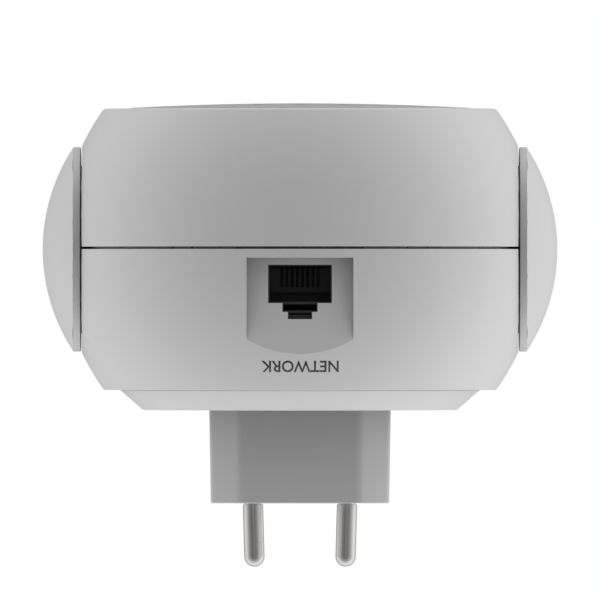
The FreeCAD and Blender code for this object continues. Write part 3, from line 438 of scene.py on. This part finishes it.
# Base: a shallow cone with a slot for the plug, moulded in white ABS and screwed to the ball
# from behind its back wall.
base_end, base_wall = half_depth + 3.95, 2.0
base_plate = turned("base_cone", [
    (0, base_end - base_wall), (31.09, base_end - base_wall), (33.35, half_depth), (35.25, half_depth),
    (35.35, half_depth + 0.08), (31.0, base_end - 0.08), (30.9, base_end), (0, base_end)])


def plug_body(name, front_y, back_y, grow=0.0):
    """The plug's eight-sided form between two places in Y, in millimetres from its end face. It
    draws in by the draft towards the end, and its long edges are rounded."""
    def corners(y):
        draw = grow - 0.3 * y / 18.35
        flat, wide, high, end = 11.7 + draw / 2, 17.55 + draw, 6.65 + draw, 2.3 + draw / 2
        return [(wide, end), (flat, high), (-flat, high), (-wide, end), (-wide, -end), (-flat, -high),
                (flat, -high), (wide, -end)]
    body = start(name, "cylinder", vertices=8, radius=10 * MM, depth=(back_y - front_y) * MM,
                 location=(0, (front_y + back_y) / 2 * MM, 0), rotation=(math.pi / 2, 0, 0))
    for vertex in body.data.vertices:
        turn = math.atan2(vertex.co.z, vertex.co.x) % (2 * math.pi)
        x, z = corners(vertex.co.y / MM)[int(turn / (math.pi / 4) + 0.01) % 8]
        vertex.co.x, vertex.co.z = x * MM, z * MM
    return body


def pick_edges(piece, test):
    """Opens a piece for editing with just those edges selected whose two ends pass the test."""
    edit(piece, "EDGE")
    bpy.ops.mesh.select_all(action="DESELECT")
    bpy.ops.object.mode_set(mode="OBJECT")
    for edge in piece.data.edges:
        edge.select = test(*(piece.data.vertices[i].co for i in edge.vertices))
    bpy.ops.object.mode_set(mode="EDIT")


def rounded_plug_body(name, front_y, back_y, grow=0.0):
    """The same form with its four outer and four side edges rounded."""
    body = plug_body(name, front_y, back_y, grow)
    for outer, setback in ((False, 0.992), (True, 0.755)):
        pick_edges(body, lambda a, b: abs(a.y - b.y) > MM and (abs(a.x) > 16 * MM) == outer)
        bpy.ops.mesh.bevel(offset=setback * MM, segments=8, affect="EDGES")
        bpy.ops.object.mode_set(mode="OBJECT")
    return body


combined(base_plate, rounded_plug_body("plug_slot", -24, 1, 0.05))
smooth(base_plate)
dressed(base_plate, white_abs, "housing", "housing_white", "base_plate")


# Plug pins: two turned brass pins with a dull nickel plate, leaning a little towards each other.
# Each has a collar inside the plug, and a thin tail that reaches the power board.
pins = []
pin_radius, neck_radius, collar_radius, pin_length, pin_x = 2, 1.7, 2.8, 12.5, 9.27
lean = math.radians(1.6)
dome = [(pin_radius * math.cos(a), pin_length - pin_radius + pin_radius * math.sin(a))
        for a in (math.radians(90 * i / 10) for i in range(11))]
tail_x, tail_y, tail_radius, tail_length = 9.893, -26.06, 1, 11.23
for side in (-1, 1):
    pin = turned("pin_left" if side < 0 else "pin_right", [
        (0, -22.3), (neck_radius, -22.3), (neck_radius, -21.95), (collar_radius, -21.95),
        (collar_radius, -20.45), (neck_radius, -20.45), (neck_radius, 0.25), (1.97, 0.25), (pin_radius, 0.28)]
        + dome[:-1] + [(0, pin_length)], 48,
        (side * pin_x, -ball.y / MM, 0), (-side * math.sin(lean), math.cos(lean), 0))
    tail = start("tail", "cylinder", vertices=24, radius=tail_radius * MM, depth=tail_length * MM,
                 rotation=(math.pi / 2, 0, 0), location=(side * tail_x * MM, tail_y * MM, 0))
    combined(pin, tail, operation="UNION")
    smooth(pin, 35)
    pins.append(pin)


def metal(name, colour, shade, roughness, scratch, relief, stretch=(1, 1, 1), cloud=6):
    """A metal surface. Fine marks of the given width in millimetres, drawn out along one way by
    the stretch, vary its roughness and height, and its tone drifts over some millimetres."""
    material = bpy.data.materials.new(name)
    material.use_nodes = True
    tree = material.node_tree
    shader = tree.nodes["Principled BSDF"]
    place = add(tree, "ShaderNodeTexCoord").outputs["Object"]
    along = add(tree, "ShaderNodeMapping", {"Vector": place, "Scale": stretch})
    marks = add(tree, "ShaderNodeTexNoise",
                {"Vector": along.outputs[0], "Scale": 1 / (scratch * MM), "Detail": 3})
    drift = add(tree, "ShaderNodeTexNoise", {"Vector": place, "Scale": 1 / (cloud * MM), "Detail": 2})
    tint = add(tree, "ShaderNodeMix", {"Factor": drift.outputs["Fac"], 6: srgb(colour), 7: srgb(shade)},
               data_type="RGBA")
    gloss = add(tree, "ShaderNodeMapRange",
                {"Value": marks.outputs["Fac"], 3: roughness - 0.07, 4: roughness + 0.07})
    bump = add(tree, "ShaderNodeBump",
               {"Height": marks.outputs["Fac"], "Strength": 0.5, "Distance": relief * MM})
    tree.links.new(tint.outputs[2], shader.inputs["Base Color"])
    tree.links.new(gloss.outputs[0], shader.inputs["Roughness"])
    tree.links.new(bump.outputs[0], shader.inputs["Normal"])
    shader.inputs["Metallic"].default_value = 1
    return material


# Nickel plate over turned brass: a soft grey mirror, with fine marks round the pin.
nickel = metal("nickel_plated_brass", "CFCECC", "C6C4C1", 0.3, 0.05, 0.002, (0.2, 1, 0.2))

# Plug body: solid white polycarbonate moulded round the pins, with a flange that sits inside the
# base. Its end face has a small broken edge.
plug = rounded_plug_body("plug_body", -20.45, 0)
pick_edges(plug, lambda a, b: abs(a.y) < 1e-7 and abs(b.y) < 1e-7)
bpy.ops.mesh.bevel(offset=0.25 * MM, segments=3, affect="EDGES")
bpy.ops.object.mode_set(mode="OBJECT")
combined(plug, rounded_plug_body("flange", -22.25, -20.5, 2.0), operation="UNION")
for pin in pins:
    room = bpy.data.objects.new("room", pin.data.copy())
    bpy.context.scene.collection.objects.link(room)
    combined(plug, room)
smooth(plug)
# White polycarbonate with a matt tool finish. It is a touch greyer than the housing, partly the plug's own
# tone and partly painted shade for the shadow of the ball over the plug.
plug_white = moulded("white_polycarbonate_greyed_as_painted_shade", "D9D9D9", "D5D5D6", 0.45, 0.3, 0.005)
dressed(plug, plug_white, "housing", "plug_white", "plug_block")
for pin, node in zip(pins, ("plug_pin_left", "plug_pin_right")):
    dressed(pin, nickel, "housing", "pin_nickel", node)


# Antennas: a paddle on each side, made of a crowned white cover snapped on a flat tray. The
# cover's form is a ball at the hinge and a smaller one at the tip, joined by a cone.
dome_axis, big_radius, tip_radius, tip_height, cover_wall, rim = 14.209, 36.431, 33.029, 69.0, 1.4, 44.58


def paddle(name, inset, end_x):
    big, small = big_radius - inset, tip_radius - inset
    slant = math.asin((big - small) / tip_height)
    quarter = math.pi / 2
    lower = [-quarter + (slant + quarter) * i / 56 for i in range(57)]
    upper = [slant + (quarter - slant) * i / 56 for i in range(57)]
    form = turned(name, [(big * math.cos(a), big * math.sin(a)) for a in lower]
                  + [(small * math.cos(a), tip_height + small * math.sin(a)) for a in upper],
                  360, (dome_axis, 0, 0), (0, 0, 1))
    return sliced(form, ((end_x, 0, 0), (-1, 0, 0)))


def mirrored(piece, name, angle=20):
    """The same piece for the left side, with its faces turned the right way round again."""
    twin = bpy.data.objects.new(name, piece.data.copy())
    bpy.context.scene.collection.objects.link(twin)
    twin.data.transform(Matrix.Scale(-1, 4, (1, 0, 0)))
    edit(twin)
    close_edit()
    smooth(twin, angle)
    return twin


def smoothed(node, angle=30):
    """A merged copy of a CAD node's mesh, shaded smooth, with its large faces left flat."""
    piece = bpy.data.objects.new(node + "_smooth", nodes[node].data.copy())
    bpy.context.scene.collection.objects.link(piece)
    edit(piece)
    bpy.ops.mesh.remove_doubles(threshold=0.001 * MM)
    bpy.ops.object.mode_set(mode="OBJECT")
    smooth(piece, angle)
    finished(piece, "WEIGHTED_NORMAL", mode="FACE_AREA", keep_sharp=True)
    return piece


cover_right = paddle("antenna_cover_right_shell", 0, rim)
combined(cover_right, paddle("hollow", cover_wall, rim - 0.4))
smooth(cover_right, 20)

# The tray is the same outline drawn out flat, with a rounded inner edge and an arm set back from
# the ball. It carries the hollow spindle with its clip groove, the stop peg and the board's rib.
tray_thickness, gap_round, arm_relief = 1.48, 0.25, 0.7
slant = math.asin((big_radius - tip_radius) / tip_height)
cone_low, cone_high = big_radius * math.sin(slant), tip_height + tip_radius * math.sin(slant)
disc_radius, tip_end = 20.12, 13.0


def half_width(z):
    """How far the cone part of the paddle reaches to each side in the plane of the rim."""
    across = big_radius * math.cos(slant) - (z - cone_low) * math.tan(slant)
    return math.sqrt(across**2 - (rim - dome_axis)**2)


low_end, high_start = math.asin(cone_low / disc_radius), math.asin((cone_high - tip_height) / tip_end)
quarter = math.pi / 2
side_line = [(disc_radius * math.cos(a), disc_radius * math.sin(a))
             for a in (-quarter + (low_end + quarter) * i / 40 for i in range(41))]
side_line += [(half_width(z), z) for z in (cone_low + (cone_high - cone_low) * i / 30 for i in range(1, 30))]
side_line += [(tip_end * math.cos(a), tip_height + tip_end * math.sin(a))
              for a in (high_start + (quarter - high_start) * i / 40 for i in range(41))]
side_line += [(-y, z) for y, z in side_line[-2:0:-1]]
places = [ball + Vector((rim, y, z)) * MM for y, z in side_line]
tray_right = start("antenna_tray_right_shell", "plane", size=MM, location=places[0])
edit(tray_right)
bpy.ops.mesh.merge(type="CENTER")
for here, there in zip(places, places[1:]):
    bpy.ops.mesh.extrude_region_move(TRANSFORM_OT_translate={"value": there - here})
bpy.ops.mesh.select_all(action="SELECT")
bpy.ops.mesh.edge_face_add()
bpy.ops.mesh.extrude_region_move(TRANSFORM_OT_translate={"value": (-tray_thickness * MM, 0, 0)})
close_edit()
inner = (rim - tray_thickness) * MM
pick_edges(tray_right, lambda a, b: abs(a.x - inner) < 1e-6 and abs(b.x - inner) < 1e-6)
bpy.ops.mesh.bevel(offset=gap_round * MM, segments=3, affect="EDGES")
close_edit()
hub = start("hub", "cylinder", vertices=180, radius=20.37 * MM, depth=4 * MM, rotation=(0, math.pi / 2, 0),
            location=ball + Vector((rim - tray_thickness, 0, 0)) * MM)
arm_side = block("arm_side", (rim - 3, -40, 0), (rim - tray_thickness + arm_relief, 40, 90))
combined(tray_right, combined(arm_side, hub))
spindle_radius, clip_radius, spindle_start, spindle_end = 5.5, 4.7, 34.55, 43.9
clip_start, clip_end = 35.3, 36.15
spindle = turned("spindle", [
    (0, spindle_start), (spindle_radius, spindle_start), (spindle_radius, clip_start),
    (clip_radius, clip_start), (clip_radius, clip_end), (spindle_radius, clip_end),
    (spindle_radius, spindle_end), (0, spindle_end)], 64, axis=(1, 0, 0))
peg_radius, peg_length, peg_x = 1.1, 2.3, 42.7
peg = start("stop_peg", "cylinder", vertices=32, radius=peg_radius * MM, depth=peg_length * MM,
            rotation=(0, math.pi / 2, 0), location=ball + Vector((peg_x, 0, peg_circle)) * MM)
rib_inner, rib_outer, rib_start, rib_end = 14.69, 15.69, 44.4, 45.78
rib = turned("board_rib", [(rib_inner, rib_start), (rib_outer, rib_start), (rib_outer, rib_end),
                           (rib_inner, rib_end), (rib_inner, rib_start)], 96, axis=(1, 0, 0))
combined(tray_right, spindle, peg, sliced(rib, ((0, 0, 0), (0, 0, 1))), operation="UNION")
combined(tray_right, start("bore", "cylinder", vertices=48, radius=2.5 * MM, depth=16 * MM,
                           rotation=(0, math.pi / 2, 0), location=ball + Vector((40, 0, 0)) * MM))
smooth(tray_right, 20)
for side in ("right", "left"):
    body = "antenna_" + side
    cover = cover_right if side == "right" else mirrored(cover_right, "antenna_cover_left_shell")
    tray = tray_right if side == "right" else mirrored(tray_right, "antenna_tray_left_shell")
    dressed(cover, white_abs, body, "housing_white", "antenna_cover_" + side)
    dressed(tray, white_abs, body, "housing_white", "antenna_tray_" + side)


def coated(material, *names):
    """Gives CAD nodes that stay as they are a better material."""
    for name in names:
        nodes[name].data.materials.clear()
        nodes[name].data.materials.append(material)


# Slip rings between ball and paddle: acetal, slightly waxy. Their dark grey colour is partly their own and
# partly painted shade for the deep, narrow gap between ball and paddle.
gap_shade_acetal = moulded("dark_acetal_with_painted_gap_shade", "3E3F41", "38393B", 0.5, 0.3, 0.003)
for side in ("right", "left"):
    dressed(smoothed("pivot_washer_" + side), gap_shade_acetal, "housing", "washer_dark", "pivot_washer_" + side)

# Hidden running gear of each antenna: a printed aerial board with bare copper arms, a coaxial
# lead in grey PVC to a gilded plug, a stamped spring washer and the steel clip behind it.
spring_steel = metal("spring_steel_stamped", "8F9093", "84858A", 0.3, 0.08, 0.002)
copper = metal("etched_copper", "B4714A", "A66340", 0.35, 0.1, 0.001)
gold = metal("hard_gold_plate", "C9A24B", "BD9440", 0.22, 0.06, 0.001)
# Grey PVC jacket: soft sheen and a slight unevenness along the lead.
grey_pvc = moulded("grey_pvc_jacket", "8E8F90", "848586", 0.5, 0.6, 0.006)


def printed_board(name, solder_mask, bare):
    """A glass-fibre board under green lacquer: its copper tracks show as lighter bands 0.4 mm
    wide that run both ways, and the glass weave gives a faint grid at 0.8 mm."""
    material = bpy.data.materials.new(name)
    material.use_nodes = True
    tree = material.node_tree
    shader = tree.nodes["Principled BSDF"]
    place = add(tree, "ShaderNodeTexCoord").outputs["Object"]
    upright = add(tree, "ShaderNodeMapping", {"Vector": place, "Rotation": (math.pi / 2, 0, 0)})
    tracks = add(tree, "ShaderNodeTexBrick", {
        "Vector": upright.outputs[0], "Color1": srgb(solder_mask), "Color2": srgb(solder_mask),
        "Mortar": srgb(bare), "Scale": 1 / MM, "Mortar Size": 0.2, "Brick Width": 3.6, "Row Height": 2.2,
        "Bias": 0.0})
    weave = add(tree, "ShaderNodeTexWave", {"Vector": place, "Scale": 1 / (0.8 * MM) / 20, "Distortion": 1.0})
    bump = add(tree, "ShaderNodeBump",
               {"Height": weave.outputs["Fac"], "Strength": 0.4, "Distance": 0.01 * MM})
    tree.links.new(tracks.outputs["Color"], shader.inputs["Base Color"])
    tree.links.new(bump.outputs[0], shader.inputs["Normal"])
    shader.inputs["Roughness"].default_value = 0.3
    shader.inputs["IOR"].default_value = 1.55
    return material


green_board = printed_board("green_lacquered_board", "1F5A33", "3B7A4A")
coated(green_board, "antenna_board_right", "antenna_board_left", "main_board", "power_board")
coated(copper, "antenna_copper_right", "antenna_copper_left")
coated(spring_steel, "friction_washer_right", "friction_washer_left")
coated(spring_steel, "antenna_clip_right", "antenna_clip_left")
coated(grey_pvc, "antenna_lead_right", "antenna_lead_left")
coated(gold, "lead_plug_right", "lead_plug_left")


# Network port: a black jack behind the housing's stepped opening, with eight gilded spring wires
# that slant in the slots of its comb, and the isolating transformer beside it.
# Glass-filled PBT, black on the real jack: dull, with short glass fibres that roughen the skin. Its colour is
# a mid-dark grey, lighter than black, as painted light in the deep socket.
socket_pbt_painted_lighter = moulded("glass_filled_pbt_painted_lighter", "4A4A4C", "404042", 0.42, 0.15, 0.004)
epoxy_black = moulded("black_moulded_epoxy", "262627", "1F1F20", 0.6, 0.1, 0.003)
coated(socket_pbt_painted_lighter, "ethernet_jack")
dressed(smoothed("ethernet_contacts"), gold, "housing", "contact_gold", "ethernet_contacts")
coated(epoxy_black, "ethernet_transformer", "processor", "memory_chips", "suppression_capacitor")


# Port name: generic lettering pad-printed in dark grey ink on the ball behind the recess, with its
# top towards the wall. The ink lies on the ball's curve.
bpy.ops.object.select_all(action="DESELECT")
bpy.ops.object.text_add()
label = bpy.context.object
label.name = "port_lettering"
label.data.body = "NETWORK"
label.data.align_x = "CENTER"
label.data.align_y = "CENTER"
label.data.size = 1.0
label.data.resolution_u = 6
label.data.offset = 0.012
bpy.ops.object.convert(target="MESH")
letters = [v.co.copy() for v in label.data.vertices]
left, right = min(v.x for v in letters), max(v.x for v in letters)
bottom, top = min(v.y for v in letters), max(v.y for v in letters)
label_width, label_height, label_y = 15.1, 2.25, 22.95
ink_lift = 0.03
for vertex, flat in zip(label.data.vertices, letters):
    x = ((flat.x - left) / (right - left) - 0.5) * label_width
    y = ((flat.y - bottom) / (top - bottom) - 0.5) * label_height + label_y
    z = -math.sqrt((ball_radius + ink_lift)**2 - x**2 - y**2)
    vertex.co = ball + Vector((-x, y, z)) * MM
edit(label)
bpy.ops.mesh.remove_doubles(threshold=0.0005 * MM)
bpy.ops.object.mode_set(mode="OBJECT")
finished(label, "SOLIDIFY", thickness=0.02 * MM, offset=-1.0)
# Pad-printing ink: matt dark grey, thin enough for the grain below to show through.
ink = moulded("dark_grey_printing_ink", "3A3A3C", "434345", 0.6, 0.22, 0.004)
dressed(label, ink, "housing", "washer_dark")


# Buttons on top: a white button with its flange under the shell, and below each hole a tact switch
# with a brown plunger that the button or a pin pushes down.
button_abs = moulded("white_abs_button", "E4E4E4", "DFDFE0", 0.38, 0.22, 0.003)
switch_plastic = moulded("black_nylon_switch", "2B2B2C", "242425", 0.5, 0.15, 0.003)
plunger_brown = moulded("brown_phenolic", "5A3B2A", "4C3022", 0.45, 0.2, 0.003)
dressed(smoothed("wps_button"), button_abs, "pairing_button", "button_white", "wps_button")
coated(switch_plastic, "wps_switch", "reset_switch")
coated(plunger_brown, "wps_plunger", "reset_plunger")


# Lights: three white lamps on the board, and the clear guide whose rods end in the front panel.
# Clear polycarbonate with frosted ends, so that an unlit light looks like a pale grey dot.
frosted = bpy.data.materials.new("frosted_clear_polycarbonate")
frosted.use_nodes = True
tree = frosted.node_tree
shader = tree.nodes["Principled BSDF"]
frost = add(tree, "ShaderNodeTexNoise", {"Vector": add(tree, "ShaderNodeTexCoord").outputs["Object"],
                                         "Scale": 1 / (0.15 * MM), "Detail": 2})
gloss = add(tree, "ShaderNodeMapRange", {"Value": frost.outputs["Fac"], 3: 0.3, 4: 0.45})
tone = add(tree, "ShaderNodeMix", {"Factor": frost.outputs["Fac"], 6: srgb("B9BDC0"), 7: srgb("C4C8CA")},
           data_type="RGBA")
tree.links.new(gloss.outputs[0], shader.inputs["Roughness"])
tree.links.new(tone.outputs[2], shader.inputs["Base Color"])
shader.inputs["IOR"].default_value = 1.58
shader.inputs["Transmission Weight"].default_value = 0.35
lamp_white = moulded("white_lamp_body", "E6E4DA", "DEDCD0", 0.4, 0.2, 0.002)
dressed(smoothed("light_pipe"), frosted, "housing", "clear_light_guide", "light_pipe")
coated(lamp_white, "status_leds")


# Screws and cans: zinc-plated pan-head screws, tinned steel shields over the radio parts, and the
# black anodised heat sink pressed on the processor through a grey pad.
zinc = metal("zinc_plated_steel", "A9ABAD", "9C9EA2", 0.32, 0.06, 0.002)
tinned = metal("tinned_steel_sheet", "B4B5B5", "A9AAAB", 0.28, 0.2, 0.002, (1, 1, 0.1))
anodised = metal("black_anodised_aluminium", "3C3D40", "343538", 0.4, 0.1, 0.002, (1, 0.2, 1))
silicone = moulded("grey_silicone_pad", "8A8D91", "7F8286", 0.7, 0.4, 0.01)
coated(zinc, "base_screws", "board_screws", "power_screws")
coated(tinned, "radio_shields", "header_pins")
coated(anodised, "heat_sink")
coated(silicone, "thermal_pad")


# Power supply: ferrite transformer wound with enamelled wire under yellow tape, sleeved
# capacitors, a fuse, and the board link's black strip under a clear insulating sheet.
ferrite = moulded("grey_sintered_ferrite", "4A4B4D", "404143", 0.55, 0.12, 0.006)
tape = moulded("yellow_polyester_tape", "D9B64A", "CFAA3E", 0.3, 1.2, 0.02)
sleeve = moulded("blue_grey_pvc_sleeve", "3B4656", "343E4C", 0.35, 0.8, 0.004)
nylon = moulded("black_nylon_strip", "2A2A2B", "232324", 0.5, 0.15, 0.003)
ceramic = moulded("white_ceramic_fuse", "D8D2C4", "CFC8B8", 0.35, 0.3, 0.003)
film = moulded("clear_polyester_film", "C9CDCE", "BFC4C6", 0.15, 1.5, 0.003)
coated(ferrite, "transformer_core")
coated(tape, "transformer_winding")
coated(sleeve, "mains_capacitors", "output_capacitors")
coated(nylon, "header_block")
coated(ceramic, "mains_fuse")
coated(film, "insulating_sheet")
